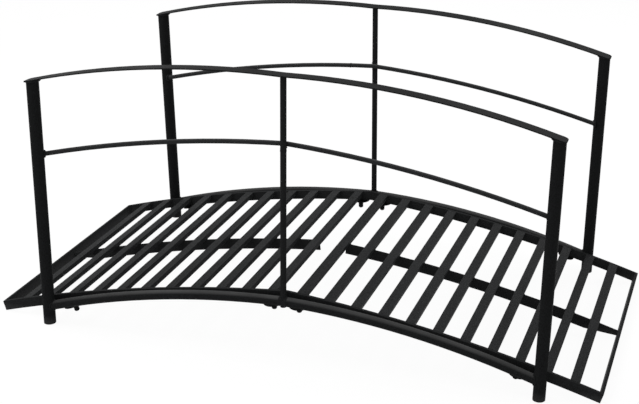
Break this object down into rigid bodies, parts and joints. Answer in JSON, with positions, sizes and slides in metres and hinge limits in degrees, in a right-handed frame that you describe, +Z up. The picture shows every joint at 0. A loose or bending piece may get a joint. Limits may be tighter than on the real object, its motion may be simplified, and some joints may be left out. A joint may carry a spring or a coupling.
{
  "type": "arched metal garden bridge",
  "caption": "Small arched footbridge in black powder-coated steel, with a slatted deck in two halves and a low bowed railing bolted along each side.",
  "frame": {"origin": "on the ground, under the middle of the bridge", "axes": "+X along the span towards the right end, +Y across the deck towards the back railing, +Z up"},
  "size_m": [1.6374, 0.823, 0.7521],
  "materials": {
    "frame_coat": "satin black powder coat",
    "slat_coat": "finely textured black powder coat",
    "railing_coat": "satin black powder coat",
    "bolt_coat": "black-finished bolts and dome nuts"
  },
  "bodies": {
    "root": {"side_bar_front_left": "frame_coat", "side_bar_front_right": "frame_coat", "side_bar_back_left": "frame_coat", "side_bar_back_right": "frame_coat", "end_bar_left": "frame_coat", "end_bar_right": "frame_coat", "stringer_left": "frame_coat", "stringer_right": "frame_coat", "slat_left_01": "slat_coat", "slat_left_02": "slat_coat", "slat_left_03": "slat_coat", "slat_left_04": "slat_coat", "slat_left_05": "slat_coat", "slat_left_06": "slat_coat", "slat_left_07": "slat_coat", "slat_left_08": "slat_coat", "slat_left_09": "slat_coat", "slat_left_10": "slat_coat", "slat_left_11": "slat_coat", "slat_right_01": "slat_coat", "slat_right_02": "slat_coat", "slat_right_03": "slat_coat", "slat_right_04": "slat_coat", "slat_right_05": "slat_coat", "slat_right_06": "slat_coat", "slat_right_07": "slat_coat", "slat_right_08": "slat_coat", "slat_right_09": "slat_coat", "slat_right_10": "slat_coat", "slat_right_11": "slat_coat", "post_front_left": "railing_coat", "post_front_right": "railing_coat", "post_back_left": "railing_coat", "post_back_right": "railing_coat", "top_rail_front": "railing_coat", "top_rail_back": "railing_coat", "mid_rail_front": "railing_coat", "mid_rail_back": "railing_coat", "foot_tube_front": "railing_coat", "foot_tube_back": "railing_coat", "baluster_front": "railing_coat", "baluster_back": "railing_coat", "lugs_front": "railing_coat", "lugs_back": "railing_coat", "bolts_front": "bolt_coat", "bolts_back": "bolt_coat"}
  },
  "joints": []
}
